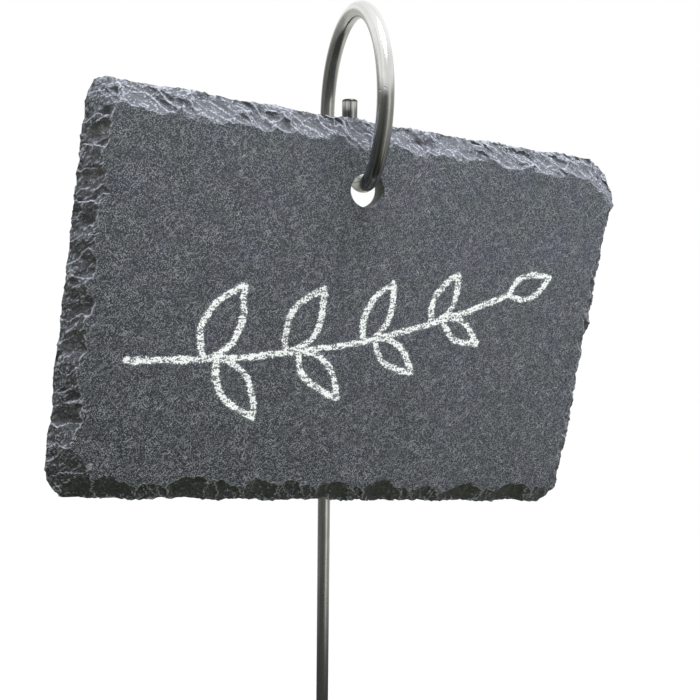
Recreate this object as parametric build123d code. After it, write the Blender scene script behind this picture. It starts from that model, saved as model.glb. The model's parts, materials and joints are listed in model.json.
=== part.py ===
from build123d import *
import os
from math import atan, atan2, cos, degrees, hypot, radians, sin, sqrt

# one bent steel wire, millimetres, soil line at zero, front of the tag faces -Y
wire_diameter = 3.0
wire_radius = wire_diameter / 2
ring_radius = 17.4
ring_height = 185.0
hook_radius = 8.8
hook_start = 218.5
hook_end = 360.0
full_turn = 360.0
quarter_turn = 90.0
stub_length = 7.4
cut_bevel = 0.3
ground_depth = 75.0
point_length = 8.0
point_flat = 0.35

# the split slate tag, measured from the middle of its hole
tag_thickness = 5.0
back_land = 0.7
hole_diameter = 6.2
hole_radius = hole_diameter / 2
hole_gap = 0.2
rim_chip = 0.25
tag_corners = {"top_left": (-49.7, 10.9), "bottom_left": (-51.2, -63.3),
               "bottom_right": (57.4, -61.2), "top_right": (56.4, 14.9)}
edge_waver = 0.5

# chipped edge: how far each side's slope runs in from the outline
left_slope = 4.8
bottom_slope = 4.6
right_slope = 3.85
top_slope = 5.0
corner_slope = 5.2

# the clipped corners, how far each cut runs back along the side before it and on along the side after
corner_runs = {"top_left": (1.8, 3.6), "bottom_left": (5.0, 3.8),
               "bottom_right": (3.7, 3.0), "top_right": (5.2, 7.0)}

# waver of the outline along each side as shares of the edge waver, in the order the outline runs
left_waver_shares = (0.1, 0.6, 0.0, 0.5, -0.4, 0.3, -0.2, 0.5, -0.5, 0.2, -0.3)
bottom_waver_shares = (0.2, -0.5, 0.4, -0.8, 0.5, -0.3, 0.8, -0.9, 0.3, 0.6, -0.6, 0.5, -0.2, 0.7, -0.5, 0.1)
right_waver_shares = (-0.4, 0.5, -0.9, 0.7, -0.3, 1.0, -0.6, 0.6, -1.0, 0.2, -0.7, -1.6)
top_waver_shares = (-0.4, 0.5, -0.3, 0.6, -0.6, 0.2, -0.2, 0.4, -0.7, 0.3, -0.5, 0.5, -0.3, 0.2)

# shell-shaped chips along each side: place along it, chip size and depth as shares
left_chip_shares = ((0.12, 1.0, 0.6), (0.215, 0.9, 0.7), (0.295, 0.6, 0.4), (0.39, 0.9, 0.7),
                    (0.445, 0.5, 0.4), (0.53, 0.9, 0.6), (0.605, 1.1, 0.9), (0.68, 0.5, 0.3),
                    (0.785, 1.4, 0.95), (0.895, 0.9, 0.7))
bottom_chip_shares = ((0.045, 1.1, 1.5), (0.108, 1.3, 0.9), (0.235, 1.0, 1.5), (0.29, 0.8, 0.9),
                      (0.361, 0.8, 1.2), (0.415, 0.7, 1.0), (0.5, 1.2, 0.9), (0.596, 1.5, 1.0),
                      (0.683, 0.8, 0.8), (0.766, 1.3, 1.1), (0.877, 1.5, 1.2), (0.96, 0.7, 0.9))
right_chip_shares = ((0.07, 0.7, 0.6), (0.17, 0.9, 0.7), (0.27, 0.6, 0.6), (0.38, 1.0, 0.75),
                     (0.5, 0.8, 0.9), (0.61, 0.6, 0.5), (0.7, 0.9, 0.8), (0.81, 0.7, 0.6),
                     (0.91, 0.8, 0.75))
top_chip_shares = ((0.098, 0.9, 0.7), (0.183, 1.0, 0.6), (0.267, 1.1, 0.7), (0.371, 1.4, 0.8),
                   (0.465, 1.1, 0.7), (0.55, 0.9, 0.7), (0.644, 1.2, 0.9), (0.729, 0.8, 0.6),
                   (0.804, 1.4, 0.8), (0.908, 1.1, 0.7))
chip_ball = 8.0
chip_dip = 1.0
chip_rise = 1.2

# derived places
hook_turn = radians(hook_start)
ring_y = -ring_radius
hook_y = ring_y + (ring_radius - hook_radius) * cos(hook_turn)
hook_height = ring_height + (ring_radius - hook_radius) * sin(hook_turn)
stub_lean = radians(hook_end - full_turn)
stub_y = hook_y + hook_radius * cos(stub_lean)
stub_foot = hook_height + hook_radius * sin(stub_lean)
stub_run = (-sin(stub_lean), cos(stub_lean))
stub_plain = stub_length - cut_bevel
wire_foot = -ground_depth
half_thickness = tag_thickness / 2
sag_rise = hook_radius - sqrt(hook_radius**2 - half_thickness**2)
wire_crest = hook_height - hook_radius + sag_rise + wire_radius
hole_height = wire_crest + hole_gap - hole_radius
slope_drop = tag_thickness - back_land
slope_middle = half_thickness - back_land - slope_drop / 2
cut_depth = tag_thickness * 4
cut_reach = 1.4
half_way = 0.5
hole_depth = tag_thickness * 2
rim_run = rim_chip * 2
rim_radius = hole_radius + rim_run
point_middle = wire_foot + point_length / 2
point_top = wire_foot + point_length


def bent_wire():
    straight = Line((0, point_top), (0, ring_height))
    ring = CenterArc((ring_y, ring_height), ring_radius, 0, hook_start)
    hook = CenterArc((hook_y, hook_height), hook_radius, hook_start, hook_end - hook_start)
    stub_end = (stub_y + stub_run[0] * stub_plain, stub_foot + stub_run[1] * stub_plain)
    stub = Line((stub_y, stub_foot), stub_end)
    path = Plane.YZ * Wire([straight.edge(), ring.edge(), hook.edge(), stub.edge()])
    foot = Plane((0, 0, point_top))
    wire = sweep(foot * Circle(wire_radius), path)
    point = Pos(0, 0, point_middle) * Cone(point_flat, wire_radius, point_length)
    cut_face = Plane((0, stub_end[0], stub_end[1]), z_dir=(0, stub_run[0], stub_run[1]))
    cut_size = (wire_radius, wire_radius - cut_bevel, cut_bevel)
    cut = cut_face * Cone(*cut_size, align=(Align.CENTER, Align.CENTER, Align.MIN))
    return wire + point + cut


def between(start, end, share):
    return start[0] + (end[0] - start[0]) * share, start[1] + (end[1] - start[1]) * share


def outward(start, end):
    # the outline runs anticlockwise seen from the front, so outside lies on its right
    length = hypot(end[0] - start[0], end[1] - start[1])
    return (end[1] - start[1]) / length, (start[0] - end[0]) / length


def side_points(start, end, run_start, run_end, waver_shares):
    length = hypot(end[0] - start[0], end[1] - start[1])
    out = outward(start, end)
    first, last = run_start / length, 1 - run_end / length
    points = []
    for step, waver in enumerate(waver_shares):
        share = first + (last - first) * step / (len(waver_shares) - 1)
        place = between(start, end, share)
        points.append((place[0] + out[0] * waver * edge_waver, place[1] + out[1] * waver * edge_waver))
    return points


def slope_frame(start, end, slope, share):
    # a plane lying on the chipped slope, half-way down it, turned to face out of the stone
    out = outward(start, end)
    place = between(start, end, share)
    fall = atan(slope_drop / slope)
    inset = slope / 2
    middle = (place[0] - out[0] * inset, slope_middle, place[1] - out[1] * inset)
    facing = (out[0] * sin(fall), -cos(fall), out[1] * sin(fall))
    along = (end[0] - start[0], 0, end[1] - start[1])
    return Plane(middle, x_dir=along, z_dir=facing)


def slope_cut(start, end, slope):
    length = hypot(end[0] - start[0], end[1] - start[1])
    block = Box(length * cut_reach, cut_depth, cut_depth, align=(Align.CENTER, Align.CENTER, Align.MIN))
    return slope_frame(start, end, slope, half_way) * block


def chip_cuts(start, end, slope, chip_shares):
    chips = []
    for place, size, depth in chip_shares:
        ball = chip_ball * size
        lift = ball - chip_dip * depth
        chips.append(slope_frame(start, end, slope, place) * Pos(0, chip_rise, lift) * Sphere(ball))
    return chips


def slate_tag():
    sides = (
        ("top_left", "bottom_left", left_slope, left_waver_shares, left_chip_shares),
        ("bottom_left", "bottom_right", bottom_slope, bottom_waver_shares, bottom_chip_shares),
        ("bottom_right", "top_right", right_slope, right_waver_shares, right_chip_shares),
        ("top_right", "top_left", top_slope, top_waver_shares, top_chip_shares),
    )
    outline, corner_ends, cuts = [], [], []
    for first, last, slope, wavers, chips in sides:
        start, end = tag_corners[first], tag_corners[last]
        run_start, run_end = corner_runs[first][1], corner_runs[last][0]
        points = side_points(start, end, run_start, run_end, wavers)
        outline += points
        corner_ends.append((points[0], points[-1]))
        cuts.append(slope_cut(start, end, slope))
        cuts += chip_cuts(start, end, slope, chips)
    for number, (first_point, last_point) in enumerate(corner_ends):
        next_point = corner_ends[(number + 1) % len(corner_ends)][0]
        cuts.append(slope_cut(last_point, next_point, corner_slope))
    back = Plane((0, half_thickness, 0), x_dir=(1, 0, 0), z_dir=(0, -1, 0))
    stone = extrude(back * make_face(Polyline(*outline, close=True)), tag_thickness)
    lay = Rot(quarter_turn, 0, 0)
    hole = lay * Cylinder(hole_radius, hole_depth)
    front_rim = Pos(0, -half_thickness, 0) * lay * Cone(hole_radius, rim_radius, rim_run)
    back_rim = Pos(0, half_thickness, 0) * lay * Cone(rim_radius, hole_radius, rim_run)
    return stone - cuts - hole - front_rim - back_rim


wire_stake = bent_wire()
level_tag = slate_tag()

# the tag hangs with its centre of mass straight below the hole
balance = level_tag.center(CenterOf.MASS)
rest_tilt = degrees(atan2(balance.X, -balance.Z))
hung_tag = Pos(0, hook_y, hole_height) * Rot(0, rest_tilt, 0) * level_tag

os.makedirs("parts", exist_ok=True)
export_step(wire_stake, "parts/wire_stake.step")
export_step(hung_tag, "parts/slate_tag.step")
print("tilt", rest_tilt, "hole", hook_y, hole_height)
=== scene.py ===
import json
import math

import bpy
import numpy as np
from bpy.props import FloatProperty, FloatVectorProperty, IntProperty, PointerProperty
from mathutils import Matrix, Vector


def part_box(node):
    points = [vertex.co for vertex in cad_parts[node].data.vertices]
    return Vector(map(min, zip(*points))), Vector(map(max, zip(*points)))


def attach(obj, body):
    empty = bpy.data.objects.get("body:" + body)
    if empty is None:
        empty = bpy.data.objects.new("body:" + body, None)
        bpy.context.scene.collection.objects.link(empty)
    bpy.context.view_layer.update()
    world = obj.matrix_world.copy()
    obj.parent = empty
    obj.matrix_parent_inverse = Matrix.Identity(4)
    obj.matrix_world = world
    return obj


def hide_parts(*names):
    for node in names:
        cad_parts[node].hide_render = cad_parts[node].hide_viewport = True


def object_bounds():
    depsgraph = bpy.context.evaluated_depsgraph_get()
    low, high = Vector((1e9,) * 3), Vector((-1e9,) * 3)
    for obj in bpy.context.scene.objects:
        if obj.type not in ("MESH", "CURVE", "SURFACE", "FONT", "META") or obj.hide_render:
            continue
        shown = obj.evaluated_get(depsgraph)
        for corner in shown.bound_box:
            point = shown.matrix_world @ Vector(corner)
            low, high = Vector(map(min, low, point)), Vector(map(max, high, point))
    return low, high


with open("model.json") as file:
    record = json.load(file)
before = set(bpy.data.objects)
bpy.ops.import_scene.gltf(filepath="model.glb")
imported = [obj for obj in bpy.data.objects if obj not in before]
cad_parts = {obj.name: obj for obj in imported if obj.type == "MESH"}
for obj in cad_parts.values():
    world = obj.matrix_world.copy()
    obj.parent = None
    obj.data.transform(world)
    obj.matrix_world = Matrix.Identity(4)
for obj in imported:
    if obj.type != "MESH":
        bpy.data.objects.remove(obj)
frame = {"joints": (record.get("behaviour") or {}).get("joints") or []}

bl_info = {
    "name": "Plant label stake",
    "version": (1, 0, 0),
    "blender": (4, 5, 0),
    "location": "View3D > Sidebar > Label stake",
    "description": "A chipped slate tag hung on the ring of a bent steel wire stake",
    "category": "Object",
}

cad_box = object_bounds()
hinge = next(joint for joint in frame["joints"] if joint["name"] == "tag_swing")
hole_place = Vector(hinge["pos_m"])
wire_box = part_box("wire_stake")
MM = 0.001
FULL_TURN = 2 * math.pi
# millimetres that stand for nothing near, and for no scar here
FAR, NO_SCAR = 99.0, 9.0


def length(name, description, size):
    return FloatProperty(name=name, description=description, default=size, unit="LENGTH")


def angle(name, description, degrees):
    return FloatProperty(name=name, description=description, default=math.radians(degrees),
                         subtype="ANGLE")


def level(name, description, value):
    return FloatProperty(name=name, description=description, default=value)


def colour(name, description, *channels):
    return FloatVectorProperty(name=name, description=description, default=channels, size=3,
                               subtype="COLOR")


class WireSettings(bpy.types.PropertyGroup):
    radius: length("Wire radius", "Half the thickness of the wire", 0.001495)
    ring_radius: length("Ring radius", "From the ring's middle to the middle of the wire", 0.0174)
    ring_height: length("Ring height", "Height of the ring's middle over the soil line", 0.185)
    ring_turn: angle("Ring turn", "How far the wire runs round the ring before it tightens", 218.5)
    hook_radius: length("Hook radius", "The tighter bend that carries the tag", 0.0088)
    stub_length: length("Stub length", "Straight wire after the hook", 0.0074)
    cut_bevel: length("Cut bevel", "Worn edge of the cut end", 0.0003)
    point_length: length("Point length", "Taper at the foot", 0.008)
    point_flat: length("Point flat", "Radius left at the tip", 0.00035)
    facets: IntProperty(name="Facets", description="Sides round the wire", default=48)
    steel: colour("Steel", "Colour of the drawn wire", 0.87, 0.868, 0.858)
    steel_dull: colour("Dull steel", "Colour of handled and tarnished wire", 0.53, 0.525, 0.51)
    # painted shade: the hook in the tag's shade is drawn in this darker colour
    steel_shaded: colour("Worn steel", "Colour of the rubbed, darkened hook", 0.20, 0.198, 0.19)
    steel_cut: colour("Cut steel", "Colour of the sheared end", 0.05, 0.05, 0.05)


class SlateSettings(bpy.types.PropertyGroup):
    thickness: length("Thickness", "Front face to back face", 0.005)
    hole_radius: length("Hole radius", "Drilled hole", 0.0031)
    rest_tilt: angle("Rest tilt", "How far the tag hangs over to one side", 8.346)
    cell: length("Cell", "Spacing of the first grid", 0.0015)
    stone: colour("Stone", "Blue-grey of the split face", 0.066, 0.074, 0.110)
    stone_dark: colour("Dark stone", "Darker clouds in the face", 0.046, 0.049, 0.060)
    stone_violet: colour("Violet stone", "Violet clouds", 0.075, 0.075, 0.103)
    stone_green: colour("Green stone", "Grey-green clouds", 0.058, 0.071, 0.080)
    stone_broken: colour("Broken stone", "Colour inside the chips", 0.098, 0.102, 0.123)
    # painted shade: a dark olive tint in clean shells, strongest on the bottom side and none on the
    # top
    olive_shell_shade: colour("Olive stone", "Clean shells in the chipped edge", 0.074, 0.078, 0.060)
    # lighter bruised stone on chip rims and streaks, which also stands as a painted highlight where
    # they catch the light
    bruise_and_highlight: colour("Ridge", "Bruised stone along a chip's rim", 0.400, 0.418, 0.479)
    speck: colour("Specks", "Glints of mica", 0.382, 0.398, 0.448)
    dust: colour("Drill dust", "Powdery wall of the hole", 0.435, 0.444, 0.444)
    chalk: colour("Chalk", "Chalk strokes", 0.94, 0.965, 1.0)


class StageSettings(bpy.types.PropertyGroup):
    camera_place: FloatVectorProperty(
        name="Camera", description="Where the camera stands", subtype="TRANSLATION", size=3,
        default=(-0.04549, -0.15457, 0.16844))
    camera_turn: FloatVectorProperty(
        name="Camera turn", description="Down, round and roll", subtype="EULER", size=3,
        default=(math.radians(-11.94), math.radians(-18.41), math.radians(0.93)))
    lens: level("Lens", "Focal length on a 36 mm sensor", 37.03)
    floor: colour("Floor", "Pale floor as it is seen", 0.36, 0.36, 0.36)
    floor_glow: level("Floor glow", "White added where the floor is seen", 0.215)
    floor_bounce: colour("Floor bounce", "What the floor throws back up", 0.212, 0.220, 0.160)
    overhead: level("Overhead light", "Strength of the soft light above", 5.8)
    side: level("Side light", "Power of the softbox at the right", 0.45)
    ambient: level("Ambient", "Strength of the even light from all round", 0.52)


# brightness that the tent shows by compass bearing, in degrees from the front towards the right
TENT_LEVELS = ((-180, 0.66), (-150, 0.30), (-120, 0.15), (-93, 0.145), (-72, 0.10), (-52, 0.10),
               (-25, 0.095), (1, 0.13), (20, 0.40), (38, 0.68), (60, 0.34), (84, 0.26), (118, 0.50),
               (150, 0.62), (179, 0.66))
TENT_RADIUS, TENT_MIDDLE, TENT_OPENING = 1.4, 0.15, 0.70
# between these heights, in degrees over the horizon, the cloth gives way to the dark floor or
# the open top
TENT_FOOT, TENT_TOP = (-56, -32), (9, 23)
CLOTH_WARMTH = 0.94
TENT_FOOT_COLOUR = (0.045, 0.045, 0.042)
# metres from the stake's point down to the floor, and the place that the lamps face
FLOOR_GAP = 0.0006
LIT_PLACE = (0.0, -0.02, 0.15)

# how many steps the wire is bent in
STRAIGHT_RUNS, RING_STEPS, HOOK_STEPS, STUB_RUNS, POINT_RUNS = 24, 150, 60, 3, 8
POINT_CURVE = 1.25
# how far up the last bevel each step goes, and how much it draws in
BEVEL_STEPS = ((0.55, 0.95), (0.45, 0.84))
CUT_FACE_RINGS = (0.86, 0.7, 0.45)
# metres of wire before the hook over which painted shade darkens it, and metres at the cut end that
# stay black
SHADE_FROM, SHADE_BY = 0.013, 0.003
BURR_FROM, BURR_BY = 0.0007, 0.0003
# marks on the steel, in lines per metre, and how strong and deep its finest relief is
DRAWN_LINES, COARSE_LINES, BLACK_LINES, WIRE_RINGS = 2600.0, 800.0, 1500.0, 1500.0
HAIRLINE_BEND = 0.0016
STEEL_BUMPS = (0.75, 0.00003)
# edges that bend by more degrees than this stay sharp
SMOOTH_WIRE, SMOOTH_STONE = 35, 42

# the clipped outline of the tag in millimetres, measured from the middle of its hole
TAG_CORNERS = {"top_left": (-49.7, 10.9), "bottom_left": (-51.2, -63.3),
               "bottom_right": (57.4, -61.2), "top_right": (56.4, 14.9)}
# how far the clipping of each corner takes off the side before it and the side after it
CORNER_RUNS = {"top_left": (1.8, 3.6), "bottom_left": (5.0, 3.8),
               "bottom_right": (3.7, 3.0), "top_right": (5.2, 7.0)}
# how far a full waver moves the outline, and how far a clipped corner bulges out as a share of it
EDGE_WAVER, CORNER_BULGE, CORNER_POINTS = 0.5, 0.12, 9
# how far each corner's slope runs in: bottom left, bottom right, top right, top left
CORNER_SLOPES = (7.6, 5.2, 5.2, 5.2)
CORNER_ROOM = 0.25
# the ball that a large chip of size 1 is pressed in with, and how far over the slope's middle
CHIP_BALL, CHIP_RISE = 8.0, 1.2
# each side: its two corners, how far its slope runs in, how its outline wavers, and its large chips
# as their place along the side, size and depth
SIDES = (
    ("top_left", "bottom_left", 4.8,
     (0.0, 0.2, 0.0, 0.2, -0.1, 0.1, 0.0, 0.2, -0.2, 0.0, -0.2),
     ((0.12, 1.0, 0.6), (0.215, 0.9, 0.7), (0.295, 0.6, 0.4), (0.39, 0.9, 0.7),
      (0.445, 0.5, 0.4), (0.53, 0.9, 0.6), (0.605, 1.1, 0.9), (0.68, 0.5, 0.3),
      (0.785, 1.4, 0.95), (0.895, 0.9, 0.7))),
    ("bottom_left", "bottom_right", 4.6,
     (0.2, -0.5, 0.4, -0.8, 0.5, -0.3, 0.8, -0.9, 0.3, 0.6, -0.6, 0.5, -0.2, 0.7, -0.5, 0.1),
     ((0.045, 1.1, 1.5), (0.108, 1.3, 0.9), (0.235, 1.0, 1.5), (0.29, 0.8, 0.9),
      (0.361, 0.8, 1.2), (0.415, 0.7, 1.0), (0.5, 1.2, 0.9), (0.596, 1.5, 1.0),
      (0.683, 0.8, 0.8), (0.766, 1.3, 1.1), (0.877, 1.5, 1.2), (0.96, 0.7, 0.9))),
    ("bottom_right", "top_right", 3.85,
     (-0.4, 0.5, -0.9, 0.7, -0.3, 1.0, -0.6, 0.6, -1.0, 0.2, -0.7, -1.6),
     ((0.07, 0.7, 0.6), (0.17, 0.9, 0.7), (0.27, 0.6, 0.6), (0.38, 1.0, 0.75),
      (0.5, 0.8, 0.9), (0.61, 0.6, 0.5), (0.7, 0.9, 0.8), (0.81, 0.7, 0.6),
      (0.91, 0.8, 0.75))),
    ("top_right", "top_left", 5.0,
     (-0.4, 0.5, -0.3, 0.6, -0.6, 0.2, -0.2, 0.4, -0.7, 0.3, -0.5, 0.5, -0.3, 0.2),
     ((0.098, 0.9, 0.7), (0.183, 1.0, 0.6), (0.267, 1.1, 0.7), (0.371, 1.4, 0.8),
      (0.465, 1.1, 0.7), (0.55, 0.9, 0.7), (0.644, 1.2, 0.9), (0.729, 0.8, 0.6),
      (0.804, 1.4, 0.8), (0.908, 1.1, 0.7))),
)
# heights over the back: the face, the land left at the foot of the slopes, the deepest scar
FACE_HEIGHT, BACK_LAND, LOWEST = 5.0, 0.7, 0.25
SLOPE_DROP = FACE_HEIGHT - BACK_LAND
SCAR_SEED = 41
# two sorts of smaller scars, each as spans in millimetres or shares: how far apart, how deep down
# the slope, the half sizes across, down and out, how deep they dip, how steeply they fall, and
# how far they turn in degrees
SCAR_SORTS = (
    ((3.0, 6.0), (0.45, 0.95), (1.0, 1.9), (2.6, 4.6), (0.9, 1.8), (0.35, 0.75), (0.85, 1.15), 12),
    ((2.5, 6.0), (0.00, 1.00), (0.6, 1.4), (1.0, 2.6), (0.6, 1.1), (0.25, 0.55), (0.7, 1.2), 20),
)

# what follows has one value for each side: left, bottom, right, top
# room left between the outline and the top of the slope
SIDE_ROOMS = (0.25, 0.25, 0.25, 0.75)
# how far the long flakes lean over in degrees, how long and wide they are, and how high they lap
# over each other
SIDE_LEANS = (44, 25, -34, 58)
SIDE_FLAKES = ((5.2, 3.0), (5.0, 1.7), (4.0, 1.9), (5.4, 1.8))
SIDE_LAPS = (0.62, 0.34, 0.34, 0.36)
# how much shallower than in the solid the large chips read once the flakes cover them
SIDE_DIPS = (0.50, 1.0, 0.70, 0.60)
# how clean the large chips are, how much of that shows as an olive tint of painted shade, how
# strongly the ridges are drawn lighter as bruising and painted highlight, and how strong the torn
# steps
SIDE_CLEAN = (0.80, 0.75, 0.5, 0.25)
OLIVE_SHADE_SHOWN = (0.7, 1.0, 0.3, 0.0)
SIDE_BRUISE_AND_HIGHLIGHT = (0.68, 1.0, 0.85, 1.0)
SIDE_STEPS = (0.45, 0.4, 0.5, 0.50)
# small flakes on the long ones, then streaks along them that stand out and shift the torn steps
SMALL_FLAKE, SMALL_LAP = (2.0, 0.7), 0.09
STREAK_RELIEF, STREAK_TEAR = 0.10, 0.4
# torn layers: how many, from what height, how thick, and how much of each is its flat step
LAYERS, FIRST_LAYER, LAYER_THICK, LAYER_FLAT, LAYER_LIFT = 28, -1.5, (0.16, 0.46), 0.66, 0.15
# subdivided where the outline is nearer and the chalk stronger than this
FINER_NEAR = ((7.4, 0.02), (6.8, 2.0))
HOLE_NEAR = 4.6
# sizes of the stone's grain, in grains per metre
GRAIN, FINE_GRAIN, FLAKE_GRAIN, TORN_GRAIN = 2600.0, 6500.0, 1500.0, 1400.0
FIBRE_GRAIN, PATCHES = 1250.0, 300.0
CHALK_ROPES, CHALK_CRUMBS, HUMPS, LAMINAE = 1500.0, 3200.0, 520.0, 330.0
STONE_BUMPS = (0.85, 0.00016)
# the height in metres, with part of the way across, over which a painted light gradient makes the
# stone paler
PAINTED_LIGHT_FROM_TO = (0.088, 0.190)

# soft noise over the tag, each one as its scale per millimetre, seed, layers and height
WARPS = ((0.30, 3, 3, 0.95), (1.4, 7, 3, 0.26)), ((0.30, 5, 3, 0.95), (1.4, 9, 3, 0.26))
FACE_WAVES = (0.16, 21, 4, 0.03), (1.1, 53, 3, 0.008)
GRIT, CRUMBLE, TEARING = (1.3, 51, 3, 1.0), (1.9, 57, 2, 1.0), (0.10, 37, 2, 0.8)
CHALK_WANDER = (0.22, 61, 2, 0.35), (0.22, 63, 2, 0.35)
RAGGED = (1.3, 71, 3, 0.34), (0.35, 73, 2, 0.12)
BACK_WAVES = (0.11, 83, 3, 0.05)
# in millimetres: how deep the face and the back lie under the plain slab, how far the rim is
# pulled in, and how far in from the rim the ragged edge and the grit reach
FACE_SUNK, BACK_SUNK, RIM_PULL, RAGGED_REACH, GRIT_REACH = 0.03, 0.05, 0.2, 0.9, 1.2
GRIT_HEIGHT, RIM_GRIT_HEIGHT = 0.04, 0.20
# each flake: how far it wanders from its place, and how much it is lifted, curls up at its rim,
# and leans down and across
FLAKE_WANDER, FLAKE_SHAPE = 0.42, (0.40, 0.8, 0.65, 0.2)

# the drill: its straight part and flares as shares of the thickness and of its width, and how
# rough the bore is and how much is chipped off at its ends
DRILL_STRAIGHT, DRILL_FLARES, DRILL_SIDES = 0.8, ((0.1, 1.05), (0.4, 1.35)), 64
BORE_ROUGH, BORE_CHIPPED = 0.02, 0.08

# the chalk sprig in millimetres: its stem, and where its leaves are, how long they are, how far
# they lean out in degrees, and how much each pair loses against the one before
STEM = (-39.0, -35.5), (2.0, -33.0), (33.5, -15.5)
LEAF_PLACES, LEAF_POINTS, STEM_POINTS = (0.16, 0.36, 0.56, 0.76), 16, 40
LEAF_REACH, LEAF_REACH_LOST, LEAF_LEAN, LEAF_LEAN_LOST = 15.5, 1.6, 60, 4
LOWER_LEAF, LOWER_LEAF_AHEAD, LEAF_WIDTH, LEAF_ROUNDNESS = 0.86, 1.6, 0.21, 0.85
TIP_LEAF = (10.0, 2.4)
CHALK_REACH, CHALK_WINDOW = 1.6, 2.2

# each lamp: its kind, place and tint, and how wide it spreads in degrees or how large it is
SUN_LAMP = ("SUN", (0.26, -0.44, 1.9), (0.96, 0.985, 1.0), 34)
SIDE_LAMP = ("AREA", (0.36, -0.32, 0.30), (1.0, 0.995, 0.98), 0.22)


def settings(context):
    scene = context.scene
    return scene.label_stake_wire, scene.label_stake_slate, scene.label_stake_stage


# small helpers for meshes


def start_edit(select="DESELECT", kind="VERT"):
    bpy.ops.object.mode_set(mode="EDIT")
    bpy.ops.mesh.select_mode(type=kind)
    bpy.ops.mesh.select_all(action=select)


def edit_chosen():
    """Back into the mesh with what is selected kept."""
    bpy.ops.object.mode_set(mode="EDIT")


def end_edit():
    bpy.ops.object.mode_set(mode="OBJECT")


def primitive(add, name, **sizes):
    bpy.ops.object.select_all(action="DESELECT")
    add(**sizes)
    piece = bpy.context.object
    piece.name = name
    piece.data.name = name
    return piece


def settle(piece):
    """Puts the piece's place into its mesh, so that its object sits at the origin."""
    bpy.ops.object.select_all(action="DESELECT")
    piece.select_set(True)
    bpy.context.view_layer.objects.active = piece
    bpy.ops.object.transform_apply(location=True, rotation=True, scale=True)


def extrude(out=(0, 0, 0), size=None):
    """Draws the selected rim on by a step and sizes it about its own middle."""
    bpy.ops.mesh.extrude_region_move(TRANSFORM_OT_translate={"value": out})
    if size is not None:
        bpy.ops.transform.resize(value=(size, size, 1))


def vertex_places(mesh):
    places = np.empty(len(mesh.vertices) * 3)
    mesh.vertices.foreach_get("co", places)
    return places.reshape(-1, 3)


def set_vertex_places(mesh, places):
    mesh.vertices.foreach_set("co", np.ascontiguousarray(places, dtype=np.float64).ravel())
    mesh.update()


def select_vertices(mesh, chosen):
    """Selects vertices, and the edges and faces whose vertices are all chosen."""
    chosen = np.asarray(chosen, dtype=bool)
    mesh.vertices.foreach_set("select", chosen)
    ends = np.empty(len(mesh.edges) * 2, dtype=np.int32)
    mesh.edges.foreach_get("vertices", ends)
    mesh.edges.foreach_set("select", chosen[ends.reshape(-1, 2)].all(axis=1))
    corners = np.empty(len(mesh.loops), dtype=np.int32)
    mesh.loops.foreach_get("vertex_index", corners)
    starts = np.empty(len(mesh.polygons), dtype=np.int32)
    mesh.polygons.foreach_get("loop_start", starts)
    whole = np.minimum.reduceat(chosen[corners].astype(np.int8), starts)
    mesh.polygons.foreach_set("select", whole.astype(bool))


def store_number(mesh, name, values):
    layer = mesh.attributes.new(name, "FLOAT", "POINT")
    layer.data.foreach_set("value", np.ascontiguousarray(values, dtype=np.float32))


def store_vector(mesh, name, values):
    layer = mesh.attributes.new(name, "FLOAT_VECTOR", "POINT")
    layer.data.foreach_set("vector", np.ascontiguousarray(values, dtype=np.float32).ravel())


def smooth_step(low, high, value):
    share = np.clip((value - low) / (high - low), 0, 1)
    return share * share * (3 - 2 * share)


def lattice_value(column, row, seed):
    """A number from -1 to 1 that belongs to one point of a square lattice."""
    mixed = np.sin(column * 127.1 + row * 311.7 + seed * 74.7) * 43758.5453
    return (mixed - np.floor(mixed)) * 2 - 1


def lattice_noise(x, z, scale, seed):
    """Soft noise from -1 to 1 on a plane."""
    x, z = x * scale, z * scale
    column, row = np.floor(x), np.floor(z)
    u, v = x - column, z - row
    u, v = u * u * u * (u * (u * 6 - 15) + 10), v * v * v * (v * (v * 6 - 15) + 10)
    near, far = (lattice_value(column, row + up, seed) * (1 - u)
                 + lattice_value(column + 1, row + up, seed) * u for up in (0, 1))
    return near * (1 - v) + far * v


def layered_noise(x, z, scale, seed, layers):
    """Soft noise with finer and finer layers, each about half as large and strong as the last."""
    total, weight, height = 0, 0, 1
    for layer in range(layers):
        total = total + lattice_noise(x, z, scale * 2.03**layer, seed + layer * 17) * height
        weight, height = weight + height, height * 0.5
    return total / weight


def waves(x, z, *noises):
    """A sum of soft noises, each given as its scale, seed, layers and height."""
    return sum(layered_noise(x, z, scale, seed, layers) * height
               for scale, seed, layers, height in noises)


# small helpers for shader nodes


class Value:
    """What a shader node gives out, so that sums and products read as plain arithmetic."""

    def __init__(self, tree, socket):
        self.tree, self.socket = tree, socket

    def __add__(self, other):
        return self.tree.math("ADD", self, other)

    def __sub__(self, other):
        return self.tree.math("SUBTRACT", self, other)

    def __rsub__(self, other):
        return self.tree.math("SUBTRACT", other, self)

    def __mul__(self, other):
        return self.tree.math("MULTIPLY", self, other)

    def __truediv__(self, other):
        return self.tree.math("DIVIDE", self, other)

    def most(self, other):
        return self.tree.math("MAXIMUM", self, other)

    def span(self, low, high, out_low=0.0, out_high=1.0, smooth=True):
        """Carries low and high over to out_low and out_high, and holds still beyond them."""
        way = {"interpolation_type": "SMOOTHSTEP" if smooth else "LINEAR"}
        return self.tree.put("ShaderNodeMapRange", settings=way, Value=self, From_Min=low,
                             From_Max=high, To_Min=out_low, To_Max=out_high)

    def between(self, at_none, at_full, smooth=True):
        """Carries 0 and 1 over to two levels."""
        return self.span(0.0, 1.0, at_none, at_full, smooth)


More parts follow.
